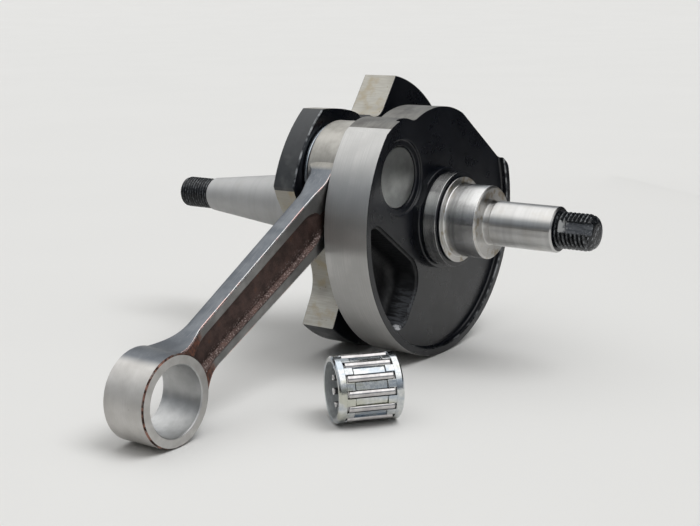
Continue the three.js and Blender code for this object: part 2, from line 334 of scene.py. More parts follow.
class Finish:
    """Node graph of one material. Each method adds a node and returns its output."""

    def __init__(self, name, metallic=1.0, roughness=0.4, **constants):
        self.material = bpy.data.materials.new(name)
        self.material.use_nodes = True
        self.tree = self.material.node_tree
        self.shader = self.tree.nodes["Principled BSDF"]
        self.shader.inputs["Metallic"].default_value = metallic
        self.shader.inputs["Roughness"].default_value = roughness
        for key, value in constants.items():
            self.shader.inputs[key.replace("_", " ")].default_value = value
        self.place = self.node("ShaderNodeAttribute", {}, output="Vector", attribute_name=OWN_PLACE)

    def node(self, kind, inputs, output=0, **settings):
        made = self.tree.nodes.new(kind)
        for key, value in settings.items():
            setattr(made, key, value)
        for key, value in inputs.items():
            if isinstance(value, bpy.types.NodeSocket):
                self.tree.links.new(value, made.inputs[key])
            else:
                made.inputs[key].default_value = value
        return made.outputs[output]

    def vector(self, operation, first, second=None, scale=None, output=0):
        inputs = {0: first}
        if second is not None:
            inputs[1] = second
        if scale is not None:
            inputs["Scale"] = scale
        return self.node("ShaderNodeVectorMath", inputs, output, operation=operation)

    def math(self, operation, first, second=0.0):
        return self.node("ShaderNodeMath", {0: first, 1: second}, operation=operation)

    def times(self, first, second):
        return self.math("MULTIPLY", first, second)

    def span(self, value, low, high, to_low=0.0, to_high=1.0):
        """Value from low to high turned into to_low to to_high."""
        inputs = {0: value, 1: low, 2: high, 3: to_low, 4: to_high}
        return self.node("ShaderNodeMapRange", inputs, interpolation_type="SMOOTHSTEP")

    def grain(self, size, detail=3.0, stretch=(1, 1, 1), place=None):
        """Noise whose features are about size millimetres, longer where stretch is larger."""
        scale = tuple(1 / (size * s) for s in stretch)
        spot = self.vector("MULTIPLY", place or self.place, scale)
        inputs = {"Vector": spot, "Scale": 1.0, "Detail": detail, "Roughness": 0.55}
        return self.node("ShaderNodeTexNoise", inputs)

    def cells(self, size):
        spot = self.vector("SCALE", self.place, scale=1 / size)
        return self.node("ShaderNodeTexVoronoi", {"Vector": spot, "Scale": 1.0})

    def specks(self, size, reach, patch_size, low, high, detail=2.0):
        """1 on small dots, which lie only in some patches."""
        dots = self.span(self.cells(size), 0.0, reach, 1.0, 0.0)
        return self.times(dots, self.span(self.grain(patch_size, detail), low, high))

    def blend(self, factor, first, second):
        inputs = {0: factor, 6: self.colour(first), 7: self.colour(second)}
        return self.node("ShaderNodeMix", inputs, output=2, data_type="RGBA")

    def tones(self, pattern, dark, light):
        """Colour that goes from dark to light with a noise."""
        return self.blend(self.span(pattern, 0.3, 0.7), dark, light)

    @staticmethod
    def colour(value):
        return value if isinstance(value, bpy.types.NodeSocket) else (*value, 1.0)

    def turned_place(self, middle=0.0):
        """Coordinates of a turned surface: along its axis, out from it, and slowly around it."""
        around = 1.5
        parts = self.node("ShaderNodeSeparateXYZ", {0: self.place}).node.outputs
        y = self.math("SUBTRACT", parts[1], middle)
        radius = self.math("SQRT", self.math("ADD", self.times(y, y), self.times(parts[2], parts[2])))
        turn = self.times(self.math("DIVIDE", y, radius), around)
        return self.node("ShaderNodeCombineXYZ", {0: parts[0], 1: radius, 2: turn})

    def rings(self, size, detail, around, middle=0.0):
        """Noise in rings round an axis parallel to X, drawn out round it."""
        return self.grain(size, detail, (1, 1, around), self.turned_place(middle))

    def streaked(self, amount):
        """Highlights drawn out across marks that run round the crank's axis."""
        spot = self.node("ShaderNodeTexCoord", {}, output="Object")
        outward = self.vector("NORMALIZE", self.vector("MULTIPLY", spot, (0, 1, 1)))
        across = self.vector("ADD", self.vector("SCALE", outward, scale=0.5), (1, 0, 0))
        tangent = self.node("ShaderNodeVectorTransform", {0: across}, vector_type="VECTOR",
                            convert_from="OBJECT", convert_to="WORLD")
        self.shader.inputs["Anisotropic"].default_value = amount
        self.tree.links.new(tangent, self.shader.inputs["Tangent"])

    def part(self, axis):
        return self.node("ShaderNodeSeparateXYZ", {0: self.place}).node.outputs[axis]

    def bump(self, height, depth, below=None):
        """Normal of a relief of depth millimetres."""
        inputs = {"Strength": 1.0, "Distance": depth * MM, "Height": height}
        if below is not None:
            inputs["Normal"] = below
        return self.node("ShaderNodeBump", inputs)

    def use(self, colour, roughness=None, normal=None):
        """Links the shader's inputs and gives the finished material."""
        for key, value in (("Base Color", colour), ("Roughness", roughness), ("Normal", normal)):
            if value is not None:
                self.tree.links.new(value, self.shader.inputs[key])
        return self.material


def black_phosphate():
    """Blue-black phosphated forging: faint mottling and a little pale dust."""
    f = Finish("black_phosphate", metallic=0.0, IOR=1.5)
    mottle = f.grain(9.0, 2.0)
    dust = f.specks(1.1, 0.05, 5.0, 0.56, 0.66, 3.0)
    colour = f.tones(mottle, (0.0022, 0.0030, 0.0055), (0.0055, 0.0065, 0.0095))
    colour = f.blend(dust, colour, (0.05, 0.054, 0.058))
    roughness = f.span(f.grain(6.0, 2.0), 0.3, 0.7, 0.26, 0.33)
    return f.use(colour, roughness)


def forged_black():
    """Blackened forging skin, as it came from the die: pitted, with worn grey high spots."""
    f = Finish("forged_black", metallic=0.35, IOR=1.6)
    lumps = f.grain(5.0, 5.0)
    pits = f.cells(1.1)
    wear = f.span(f.grain(9.0, 6.0), 0.52, 0.74)
    colour = f.tones(lumps, (0.012, 0.014, 0.017), (0.034, 0.037, 0.040))
    colour = f.blend(wear, colour, (0.075, 0.078, 0.078))
    roughness = f.span(lumps, 0.3, 0.7, 0.34, 0.5)
    normal = f.bump(lumps, 0.06)
    normal = f.bump(pits, 0.015, normal)
    return f.use(colour, roughness, normal)


def pocket_black():
    """Walls of the balance pocket: rough forged ribs near the mouth, painted shade that darkens the side
    wall and goes black in the depth, and a painted glint on the low corner of the mouth."""
    f = Finish("pocket_black", metallic=0.0, IOR=1.45)
    ribs = f.grain(0.7, 3.0, (9, 1, 1))
    colour = f.blend(f.span(ribs, 0.40, 0.60), (0.006, 0.0065, 0.008), (0.060, 0.064, 0.072))
    # painted shade: darker towards the side wall, which faces down, away from the light
    colour = f.blend(f.span(f.part(2), 28.0, 20.0), colour, (0.004, 0.0045, 0.0055))
    # painted shade: near black deep in the pocket
    colour = f.blend(f.span(f.part(0), -6.5, -9.0), colour, (0.0015, 0.0016, 0.0024))
    # painted glint: a bright patch with a ragged edge on the low corner of the mouth
    from_painted_glint = f.vector("DISTANCE", f.place, (-2.7, 1.6, 37.0), output="Value")
    painted_glint_reach = f.math("ADD", from_painted_glint, f.times(f.grain(0.8, 3.0), 2.4))
    colour = f.blend(f.span(painted_glint_reach, 2.9, 2.1), colour, (0.42, 0.43, 0.45))
    roughness = f.span(ribs, 0.3, 0.7, 0.42, 0.60)
    return f.use(colour, roughness, f.bump(ribs, 0.14))


def worn_edge():
    """Edges of the forging: black, with a thin grey line where they are rubbed."""
    f = Finish("worn_edge", metallic=0.8)
    broken = f.grain(2.6, 4.0)
    colour = f.blend(f.span(broken, 0.40, 0.68), (0.030, 0.032, 0.036), (0.30, 0.31, 0.32))
    roughness = f.span(broken, 0.3, 0.7, 0.28, 0.40)
    return f.use(colour, roughness, f.bump(broken, 0.01))


def ground_rim():
    """Cylindrically ground band: fine marks round it, a few pits and cloudy patches."""
    f = Finish("ground_rim")
    marks = f.rings(0.16, 3.0, 8)
    clouds = f.grain(6.0, 4.0)
    pits = f.specks(2.6, 0.05, 8.0, 0.56, 0.62)
    colour = f.tones(clouds, (0.42, 0.414, 0.404), (0.50, 0.493, 0.482))
    colour = f.tones(marks, colour, (0.42, 0.418, 0.41))
    colour = f.blend(pits, colour, (0.12, 0.10, 0.085))
    roughness = f.span(marks, 0.25, 0.75, 0.38, 0.46)
    f.streaked(0.8)
    return f.use(colour, roughness, f.bump(marks, 0.004))


def milled_cut():
    """Milled forging faces: even tool marks, brownish stains and small rust spots."""
    f = Finish("milled_cut")
    marks = f.grain(0.35, 2.0, (14, 1, 1))
    stains = f.span(f.grain(5.0, 5.0), 0.48, 0.70)
    broad = f.span(f.grain(14.0, 2.0), 0.40, 0.62)
    spots = f.specks(1.9, 0.16, 7.0, 0.5, 0.6)
    colour = f.blend(f.span(marks, 0.25, 0.75), (0.34, 0.328, 0.295), (0.46, 0.445, 0.405))
    colour = f.blend(f.times(broad, 0.5), colour, (0.25, 0.235, 0.20))
    colour = f.blend(f.times(stains, 0.6), colour, (0.32, 0.265, 0.17))
    colour = f.blend(spots, colour, (0.12, 0.075, 0.045))
    roughness = f.span(marks, 0.2, 0.8, 0.48, 0.62)
    return f.use(colour, roughness, f.bump(marks, 0.02))


def dull_cut():
    """Cut top of the drive web: dull, smoky steel with streaks along the cutter's path."""
    f = Finish("dull_cut", metallic=0.9)
    streaks = f.grain(0.8, 4.0, (1, 7, 7))
    smoke = f.grain(5.0, 4.0)
    colour = f.tones(streaks, (0.12, 0.117, 0.11), (0.21, 0.205, 0.19))
    colour = f.blend(f.span(smoke, 0.45, 0.7), colour, (0.10, 0.095, 0.088))
    roughness = f.span(streaks, 0.25, 0.75, 0.40, 0.56)
    return f.use(colour, roughness, f.bump(streaks, 0.02))


def ground_journal(name, band_size, tones, cloud_size, cloud_low, warm, roughness, streak, relief):
    """Ground round the axis: bands of two tones, warmer clouds, and very fine marks in relief."""
    f = Finish(name)
    bands = f.rings(band_size, 3.0, 3)
    clouds = f.span(f.grain(cloud_size, 4.0), cloud_low, 0.75)
    colour = f.blend(f.times(clouds, 0.3), f.tones(bands, *tones), warm)
    f.streaked(streak)
    marks = f.bump(f.rings(0.10, 2.0, 8), relief) if relief else None
    return f.use(colour, f.span(bands, 0.25, 0.75, *roughness), marks)


def ground_shaft():
    """Plain shaft: bright."""
    tones = (0.50, 0.497, 0.49), (0.59, 0.587, 0.58)
    return ground_journal("ground_shaft", 1.4, tones, 4.0, 0.45, (0.45, 0.42, 0.37), (0.28, 0.34),
                          0.95, 0.0015)


def ground_hub():
    """Journals next to the web: mirror-like."""
    tones = (0.58, 0.58, 0.578), (0.68, 0.68, 0.676)
    return ground_journal("ground_hub", 1.0, tones, 3.0, 0.50, (0.46, 0.44, 0.40), (0.23, 0.27), 0.8, 0.001)


def ground_cone():
    """Flywheel cone: satin grey."""
    tones = (0.46, 0.46, 0.458), (0.52, 0.52, 0.518)
    return ground_journal("ground_cone", 2.2, tones, 3.0, 0.5, (0.42, 0.41, 0.39), (0.70, 0.78), 0.4, 0)


def stained_face():
    """Turned end faces: rings from the tool and brown oil stains."""
    f = Finish("stained_face")
    rings = f.rings(0.22, 2.0, 6)
    stains = f.span(f.grain(2.2, 5.0), 0.50, 0.64)
    colour = f.tones(rings, (0.50, 0.49, 0.475), (0.62, 0.61, 0.59))
    colour = f.blend(f.times(stains, 0.7), colour, (0.34, 0.27, 0.17))
    roughness = f.span(rings, 0.25, 0.75, 0.36, 0.50)
    f.streaked(0.6)
    return f.use(colour, roughness, f.bump(rings, 0.006))


def black_thread():
    """Oil-blackened threads, paler on rubbed patches of the crests as a painted highlight, and scored on
    the domed tip.
    """
    f = Finish("black_thread", metallic=0.4, IOR=1.7)
    patch = f.grain(1.2, 4.0)
    radius = f.node("ShaderNodeSeparateXYZ", {0: f.turned_place()}, output=1)
    # paler patches on the crests: rubbing, and a painted highlight where the crests catch the light
    rubbed = f.times(f.span(radius, 4.80, 5.15), f.span(f.grain(1.0, 3.0), 0.42, 0.66))
    scores = f.span(f.grain(0.5, 4.0, (1, 1, 4)), 0.56, 0.66)
    at_tip = f.span(f.part(0), 46.4, 48.0)
    colour = f.blend(f.span(patch, 0.35, 0.7), (0.004, 0.005, 0.007), (0.014, 0.016, 0.019))
    colour = f.blend(rubbed, colour, (0.14, 0.15, 0.16))
    colour = f.blend(f.times(scores, at_tip), colour, (0.30, 0.31, 0.33))
    roughness = f.span(patch, 0.3, 0.7, 0.22, 0.36)
    return f.use(colour, roughness, f.bump(f.grain(0.3, 3.0), 0.02))


def slot_floor():
    """Milled slot in the drive thread: dark, with scuffs along it and a painted highlight on the run-out.
    """
    f = Finish("slot_floor", metallic=0.8)
    scuffs = f.grain(0.5, 4.0, (5, 1, 1))
    ragged = f.times(f.grain(0.9, 4.0), 4.0)
    # painted highlight: pale colour over the run-out ramp and the slot floor next to it, with a ragged edge
    bright = f.span(f.math("ADD", f.part(0), ragged), 43.4, 42.2)
    edges = f.span(f.grain(0.6, 4.0), 0.56, 0.68)
    colour = f.tones(scuffs, (0.045, 0.048, 0.054), (0.110, 0.115, 0.125))
    colour = f.blend(f.times(edges, 0.5), colour, (0.26, 0.27, 0.28))
    colour = f.blend(bright, colour, (0.50, 0.50, 0.49))
    roughness = f.span(scuffs, 0.3, 0.7, 0.32, 0.48)
    return f.use(colour, roughness, f.bump(scuffs, 0.04))


def pin_end():
    """Ground ends of the crankpin: satin grey with faint rings and scratches."""
    f = Finish("pin_end")
    rings = f.rings(0.25, 3.0, 5, THROW)
    scratches = f.grain(0.12, 2.0, (1, 14, 1))
    clouds = f.grain(4.0, 4.0)
    colour = f.tones(clouds, (0.32, 0.328, 0.318), (0.42, 0.428, 0.418))
    colour = f.blend(f.span(scratches, 0.6, 0.8), colour, (0.48, 0.48, 0.47))
    roughness = f.span(rings, 0.25, 0.75, 0.36, 0.50)
    return f.use(colour, roughness, f.bump(rings, 0.006))


def rod_outside():
    """Outside of the rod. The shank is belt-ground and blue-grey, with lines along it. The eyes are
    paler and satin, and the two run softly into each other at the tangents."""
    f = Finish("rod_outside")
    y = f.part(1)
    on_shank = f.times(f.span(y, 11.6, 13.2), f.span(y, 98.6, 95.4))
    lines = f.grain(0.3, 3.0, (1, 22, 1))
    clouds = f.grain(5.0, 4.0)
    blue = f.tones(clouds, (0.095, 0.105, 0.119), (0.150, 0.161, 0.175))
    blue = f.blend(f.times(f.span(lines, 0.5, 0.8), 0.6), blue, (0.25, 0.26, 0.275))
    marks = f.grain(0.3, 3.0, (1, 14, 14))
    specks = f.specks(1.7, 0.09, 3.5, 0.52, 0.6)
    pale = f.tones(clouds, (0.52, 0.505, 0.485), (0.60, 0.585, 0.565))
    # darker, browner tones towards the big end
    smoky = f.tones(f.grain(7.0, 4.0), (0.30, 0.29, 0.265), (0.46, 0.445, 0.415))
    pale = f.blend(f.span(y, 40.0, 20.0), pale, smoky)
    pale = f.blend(specks, pale, (0.20, 0.13, 0.08))
    satin = f.span(marks, 0.2, 0.8, 0.52, 0.64)
    glossier = f.span(lines, 0.2, 0.8, 0.30, 0.44)
    roughness = f.node("ShaderNodeMix", {0: on_shank, 2: satin, 3: glossier})
    relief = f.node("ShaderNodeMix", {0: on_shank, 2: marks, 3: lines})
    return f.use(f.blend(on_shank, pale, blue), roughness, f.bump(relief, 0.009))


def copper_near_eye(f):
    """1 close to the small eye, where copper plating is left."""
    edge = f.times(f.grain(3.0, 4.0), 6.0)
    return f.span(f.math("ADD", f.part(1), edge), 80.5, 84.5)


def rod_flange():
    """Ground sides of the flanges, with copper left at their ends."""
    f = Finish("rod_flange")
    lines = f.grain(0.35, 3.0, (1, 16, 1))
    clouds = f.grain(3.5, 4.0)
    colour = f.tones(clouds, (0.23, 0.226, 0.222), (0.31, 0.306, 0.30))
    residue = f.blend(f.span(f.grain(1.0, 4.0), 0.35, 0.65), (0.30, 0.125, 0.08), (0.12, 0.07, 0.06))
    colour = f.blend(copper_near_eye(f), colour, residue)
    roughness = f.span(lines, 0.2, 0.8, 0.32, 0.46)
    return f.use(colour, roughness, f.bump(lines, 0.01))


def rod_channel():
    """Forged channel: dark maroon-brown scale, granular, with pale copper speckles low down."""
    f = Finish("rod_channel", metallic=0.75)
    lumps = f.grain(0.45, 4.0)
    coarse = f.grain(3.5, 4.0)
    colour = f.tones(coarse, (0.050, 0.032, 0.028), (0.105, 0.066, 0.058))
    low = f.span(f.math("ADD", f.part(2), f.times(coarse, 2.0)), 2.2, 3.8)
    speckle = f.times(f.span(lumps, 0.52, 0.64, 0.0, 0.75), low)
    colour = f.blend(f.span(coarse, 0.60, 0.78), colour, (0.13, 0.06, 0.035))
    colour = f.blend(speckle, colour, (0.36, 0.29, 0.27))
    roughness = f.span(lumps, 0.3, 0.7, 0.34, 0.55)
    normal = f.bump(lumps, 0.08)
    return f.use(colour, roughness, f.bump(coarse, 0.15, normal))


def marked_steel(name, marks, tones, roughness, relief, clouds=None, metallic=1.0):
    """Steel with one kind of marks, and two tones that follow the clouds or the marks."""
    f = Finish(name, metallic=metallic)
    marks = f.grain(*marks)
    colour = f.tones(f.grain(*clouds) if clouds else marks, *tones)
    normal = f.bump(marks, relief) if relief else None
    return f.use(colour, f.span(marks, 0.2, 0.8, *roughness), normal)


def rod_eye_face():
    """Ground side faces of the eyes."""
    tones = (0.48, 0.47, 0.455), (0.57, 0.56, 0.545)
    return marked_steel("rod_eye_face", (0.3, 3.0, (1, 9, 1)), tones, (0.34, 0.48), 0.008, (3.0, 4.0))


def rod_bore():
    """Honed bores: fine crossed marks."""
    tones = (0.42, 0.422, 0.42), (0.50, 0.502, 0.50)
    return marked_steel("rod_bore", (0.18, 2.0, (1, 9, 9)), tones, (0.38, 0.50), 0.006, (3.0, 3.0))


def rod_edge():
    """Chamfers of the eyes: dark scale in an uneven line, with traces of copper plating."""
    f = Finish("rod_edge", metallic=0.9)
    broken = f.grain(1.8, 4.0)
    patches = f.grain(7.0, 3.0)
    colour = f.blend(f.span(broken, 0.46, 0.62), (0.035, 0.020, 0.017), (0.26, 0.14, 0.11))
    colour = f.blend(f.span(patches, 0.56, 0.66), colour, (0.33, 0.315, 0.30))
    roughness = f.span(broken, 0.3, 0.7, 0.30, 0.44)
    return f.use(colour, roughness)


def rod_ridge():
    """Rubbed ridges along the shank: a thin bright line, pink where copper shows."""
    f = Finish("rod_ridge")
    patches = f.grain(5.0, 4.0)
    fine = f.grain(0.6, 4.0)
    colour = f.blend(f.span(patches, 0.42, 0.58), (0.72, 0.73, 0.74), (0.80, 0.58, 0.54))
    colour = f.blend(f.span(fine, 0.58, 0.70), colour, (0.20, 0.17, 0.16))
    roughness = f.span(fine, 0.3, 0.7, 0.22, 0.36)
    return f.use(colour, roughness)


def washer_steel():
    f = Finish("washer_steel")
    rings = f.rings(0.3, 2.0, 6, THROW)
    colour = f.tones(rings, (0.30, 0.34, 0.38), (0.40, 0.44, 0.48))
    roughness = f.span(rings, 0.2, 0.8, 0.18, 0.3)
    return f.use(colour, roughness, f.bump(rings, 0.006))


def plated_cage():
    """Bright zinc-like plating with fine scratches, blue and straw tints and uneven faces."""
    f = Finish("plated_cage")
    ripple = f.grain(0.9, 3.0)
    scratches = f.grain(0.14, 2.0, (18, 1, 1))
    tint = f.grain(4.0, 3.0, (3, 1, 1))
    colour = f.tones(ripple, (0.50, 0.52, 0.53), (0.66, 0.67, 0.66))
    colour = f.blend(f.span(tint, 0.50, 0.62, 0.0, 0.7), colour, (0.40, 0.46, 0.53))
    colour = f.blend(f.span(tint, 0.48, 0.36, 0.0, 0.7), colour, (0.50, 0.50, 0.41))
    roughness = f.span(scratches, 0.2, 0.8, 0.10, 0.22)
    normal = f.bump(ripple, 0.03)
    return f.use(colour, roughness, f.bump(scratches, 0.003, normal))


def cage_bore():
    """Inside of a cage: dull plating, with turned rings."""
    tones = (0.34, 0.36, 0.37), (0.46, 0.48, 0.485)
    return marked_steel("cage_bore", (0.3, 3.0, (1, 6, 6)), tones, (0.48, 0.62), 0.01, metallic=0.6)


def polished_needle():
    """Hardened needles: mirror-smooth, with a faint brown heat tint."""
    tones = (0.44, 0.42, 0.42), (0.58, 0.565, 0.56)
    return marked_steel("polished_needle", (1.6, 2.0), tones, (0.05, 0.11), 0)


# ---- Making pieces ----


def keep_own_place(mesh):
    """Stores each vertex's place in the piece's own frame, for its material."""
    stored = mesh.attributes.new(OWN_PLACE, "FLOAT_VECTOR", "POINT")
    for entry, vertex in zip(stored.data, mesh.vertices):
        entry.vector = vertex.co


def piece(name, mesh, place, body, nodes, materials):
    """Finished object from a mesh in millimetres, riding on its body and replacing its CAD nodes."""
    mesh.name = name
    keep_own_place(mesh)
    mesh.transform(place @ Matrix.Scale(MM, 4))
    chosen = [face.material_index for face in mesh.polygons]
    mesh.materials.clear()
    for material in materials:
        mesh.materials.append(material)
    for face, index in zip(mesh.polygons, chosen):
        face.material_index = index
    mesh.shade_smooth()
    mesh.set_sharp_from_angle(angle=SHARP_ANGLE)
    thing = added(name, mesh)
    weighted = thing.modifiers.new("weighted_normals", "WEIGHTED_NORMAL")
    weighted.keep_sharp = True
    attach(thing, body)
    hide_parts(*nodes)


# ---- Drive-side half of the crank ----


def drive_web_outline():
    """Round web with the intake cut: a flat, an arc, and the pin boss, with a soft valley between."""
    intake_r, intake_flat, boss_r, valley = 33.2, 32.7, 16.9, 4.0
    tip = 4.0
    tip_turn = 180 + degrees(asin((intake_flat - tip) / (WEB_R - tip)))
    tip_middle = tuple((WEB_R - tip) * part(radians(tip_turn)) for part in (cos, sin))
    arc_turn = degrees(asin(intake_flat / intake_r))
    to_axis = intake_r + valley
    to_pin = boss_r + valley
    turn = acos((THROW**2 + to_axis**2 - to_pin**2) / (2 * THROW * to_axis))
    middle = (to_axis * cos(turn), -to_axis * sin(turn))
    turn = degrees(turn)
    boss_turn = degrees(atan2(-middle[1], middle[0] - THROW))
    outline = arc((0, 0), WEB_R, -7.4, tip_turn, 2)
    outline += arc(tip_middle, tip, tip_turn, 270, 10)
    outline += arc((0, 0), intake_r, -arc_turn, -turn)
    outline += arc(middle, valley, 180 - turn, 180 - boss_turn, 8)
    outline += arc((THROW, 0), boss_r, -boss_turn, -18.5)
    return without_repeats(outline)


def pocket_outline(grow):
    """Balance pocket's mouth: part of a disc with two straight walls and round corners."""
    outer, side_wall, hub_wall = 38.0 + grow, 17.5 - grow, -0.5 - grow
    side_r, hub_r, inner_r = 3.6 + grow, 5.0 + grow, 8.0 + grow
    at_side = degrees(asin((side_wall + side_r) / (outer - side_r)))
    at_hub = degrees(acos((hub_wall + hub_r) / (outer - hub_r)))
    side_corner = ((outer - side_r) * cos(radians(at_side)), side_wall + side_r)
    hub_corner = (hub_wall + hub_r, (outer - hub_r) * sin(radians(at_hub)))
    inner_corner = (hub_wall + inner_r, side_wall + inner_r)
    outline = []
    for centre, radius, start, end, count in (
            (side_corner, side_r, -90, at_side, 12), ((0, 0), outer, at_side, at_hub, 20),
            (hub_corner, hub_r, at_hub, 180, 12), (inner_corner, inner_r, 180, 270, 16)):
        outline += arc(centre, radius, start, end, abs(end - start) / (count - 0.5))[:-1]
    return outline


def balance_pocket():
    """Cutter for the blind pocket: rolled mouth, forged walls, and a deep round into its floor."""
    mouth, draft, floor, mouth_x, fillet = 0.8, 0.9, -11.2, -LIP_DEPTH, 3.6
    middle_y, middle_z, rib_depth, lump_depth = 18, 27, 0.10, 0.25
    levels = [(2.0, mouth + 0.02), (mouth_x, mouth)]
    for i in range(1, 7):
        turn = radians(15 * i)
        levels.append((mouth_x - mouth * sin(turn), mouth * cos(turn)))
    wall_top, wall_foot, steps = mouth_x - mouth, floor + fillet, 6
    for i in range(1, steps + 1):
        levels.append((wall_top + (wall_foot - wall_top) * i / steps, -draft * i / steps))
    for i in range(1, 9):
        turn = radians(11.25 * i)
        levels.append((wall_foot - fillet * sin(turn), -draft - fillet * (1 - cos(turn))))
    build = bmesh.new()
    rings = []
    for x, grow in levels:
        ring = []
        for y, z in pocket_outline(grow):
            spot = Vector((x, y, z))
            if x < wall_top - 0.6:
                lump = noise.noise(spot * 0.3)
                rib = rib_depth * sin(spot.yz.length * 3.0 + 1.5 * lump)
                inward = Vector((0, middle_y - y, middle_z - z)).normalized()
                spot += inward * (rib + lump_depth * lump)
            ring.append(build.verts.new(spot))
        rings.append(ring)
    skin(build, rings, capped=True)
    return mesh_of(build, POCKET)


def at_pin(corners, sides=128, closed=False):
    """Solid turned about the crankpin's axis."""
    return moved(lathe(rounded(corners), sides, closed), Matrix.Translation((0, THROW, 0)))


def drive_shaft():
    """Hub, ground ring, oil groove, shoulder lip, bearing seat, neck and plain shaft."""
    hub_r, ring_r, groove_r, lip_r, seat_r, neck_r, shaft_r = 15.2, 14.2, 12.0, 12.8, 10.8, 6.2, 6.6
    groove_start, groove_end, shoulder, seat_end, neck_end, shaft_end = 5.0, 5.3, 5.8, 16.1, 18.0, 38.0
    root, chamfer = -8, 0.5
    corners = [
        (root, 0), (root, hub_r), (0.2, hub_r, 0.4), (0.2, ring_r - 0.4), (0.7, ring_r - 0.4),
        (1.0, ring_r, 0.1), (groove_start, ring_r, 0.15), (groove_start, groove_r, 0.1),
        (groove_end, groove_r, 0.1), (groove_end, lip_r, 0.1), (shoulder, lip_r, 0.15),
        (shoulder, seat_r, 0.5), (seat_end - chamfer, seat_r, 0.15), (seat_end, seat_r - chamfer, 0.15),
        (seat_end, neck_r, 0.5), (neck_end, neck_r, 0.4), (neck_end + 0.4, shaft_r, 0.2),
        (shaft_end - chamfer, shaft_r, 0.15), (shaft_end, shaft_r - chamfer, 0.15), (shaft_end, 0),
    ]

    def rule(centre, normal):
        radius = centre.yz.length
        if radius > ring_r - 0.5 and centre.x < 0.85:
            return BLACK
        if centre.x > shaft_end - 0.1 or groove_start - 0.05 < centre.x < groove_end + 0.05:
            return BLACK
        at_seat_end = abs(centre.x - seat_end) < 1
        if normal.x > 0.7 and (at_seat_end or shoulder - 0.2 < centre.x < shoulder + 0.3):
            return STAINED
        return HUB if centre.x < seat_end - 0.1 else SHAFT

    return lathe(rounded(corners), 160, rule=rule)


def drive_thread():
    """Drive thread with a domed tip, and a slot along it that runs out in a ramp."""
    start, pitch, crest, depth = 37.6, 1.25, 5.3, 0.8
    tip_r, dome = 2.8, 3.0
    slot_floor_r, slot_half, ramp_start, ramp_end, slot_turn = 3.5, 1.75, 38.9, 40.9, 10.8

    def limit(x):
        from_tip = min((DRIVE_END - x) / dome, 1)
        return tip_r + (crest - tip_r) * sqrt(1 - (1 - from_tip) ** 2)

    thread = helix(start, DRIVE_END, pitch, crest, depth, limit)
    side = [(ramp_start, 5.6), (ramp_end, slot_floor_r), (DRIVE_END + 1, slot_floor_r),
            (DRIVE_END + 1, 8), (ramp_start, 8)]
    slot = prism(side, -slot_half, slot_half, 0, SLOT)
    turned = Matrix.Rotation(radians(slot_turn), 4, "X")
    return cut(thread, moved(slot, turned @ ALONG_X_TO_Z))


def drive_half():
    def web_rule(centre, normal):
        if abs(normal.x) > 0.6:
            return BLACK
        return RIM if centre.yz.length > WEB_R - RIM_BAND else DULL

    web = prism(drive_web_outline(), DRIVE_WEB_BACK, 0, 0.25, web_rule)
    lip_r = WEB_R - LIP_WIDTH
    face = lathe(rounded([(-LIP_DEPTH, 0), (-LIP_DEPTH, lip_r, 0.7), (-0.35, lip_r, 0.15),
                          (0.3, lip_r + 0.65), (1, lip_r + 0.65), (1, 0)]), 160,
                 rule=lambda c, n: WORN if c.x > -0.5 and abs(n.x) > 0.2 else BLACK)
    bottom, mouth_r, bore_r, wide_r = -LIP_DEPTH - 0.8, 11, PIN_R + 0.05, PIN_R + 0.45
    counterbore = at_pin([(bottom, 0), (bottom, mouth_r, 0.4), (-LIP_DEPTH - 0.2, mouth_r, 0.1),
                          (-LIP_DEPTH + 0.2, mouth_r + 0.4), (1, mouth_r + 0.4), (1, 0)])
    bore = at_pin([(-20, 0), (-20, bore_r), (bottom - 0.3, bore_r), (bottom + 0.1, wide_r), (2, wide_r),
                   (2, 0)])
    recess = at_pin([(-20, 0), (-20, WEB_RECESS_R), (DRIVE_PIN_WALL, WEB_RECESS_R, 0.8),
                     (DRIVE_PIN_WALL, 0)])
    web = cut(web, face)
    web = fused(web, drive_shaft())
    web = cut(web, counterbore, bore, recess, balance_pocket())
    return fused(web, drive_thread())


# ---- Flywheel-side half of the crank ----


def fly_web_outline():
    """Half-round counterweight with a low and a high wing, and the pin boss on a neck between."""
    low_wing, high_wing = 4.8, 17.6
    low = degrees(acos(low_wing / WEB_R))
    high = degrees(acos(high_wing / WEB_R))
    boss = 18
    outline = arc((0, 0), WEB_R, low, 360 - high, 2)
    outline += [(high_wing + 0.4, -26)]
    outline += bend((high_wing + 0.4, -26), (high_wing + 0.9, -21.4), (24.5, -20.8))
    outline += bend((24.5, -20.8), (31, -19), (39.9, -13))
    outline += arc((0, 0), WEB_R, -boss, boss, 2)
    outline += bend((39.9, 13), (36.5, 15.6), (31.5, 17.6))
    outline += [(14, 23)]
    outline += bend((14, 23), (6.6, 26.4), (5.7, 33), 12)
    return without_repeats(outline)


def flywheel_shaft():
    seat_r, cone_start, cone_end, cone_tip_r = 10.0, -50.0, -90.8, 5.4
    hub = FLY_WEB_BACK - 1
    corners = [
        (FLY_WEB_BACK + 5, 0), (FLY_WEB_BACK + 5, 14), (hub, 14, 0.4), (hub, seat_r, 0.5),
        (cone_start + 0.3, seat_r, 0.2), (cone_start - 0.3, seat_r - 0.1, 0.2),
        (cone_end + 0.8, cone_tip_r + 0.1, 0.15), (cone_end, cone_tip_r - 0.6, 0.1), (cone_end, 0),
    ]

    def rule(centre, normal):
        return BLACK if centre.yz.length > seat_r + 0.6 else CONE

    return lathe(rounded(corners), 128, rule=rule)


def flywheel_thread():
    """Fine thread with a domed tip."""
    start, pitch, crest, depth, tip_flat, dome = -90.4, 1.1, 5.1, 0.6, 3.4, 1.4

    def limit(x):
        from_tip = min(max((x - FLY_END) / dome, 0), 1)
        return tip_flat + (crest - tip_flat) * sqrt(1 - (1 - from_tip) ** 2)

    return helix(FLY_END, start, pitch, crest, depth, limit)


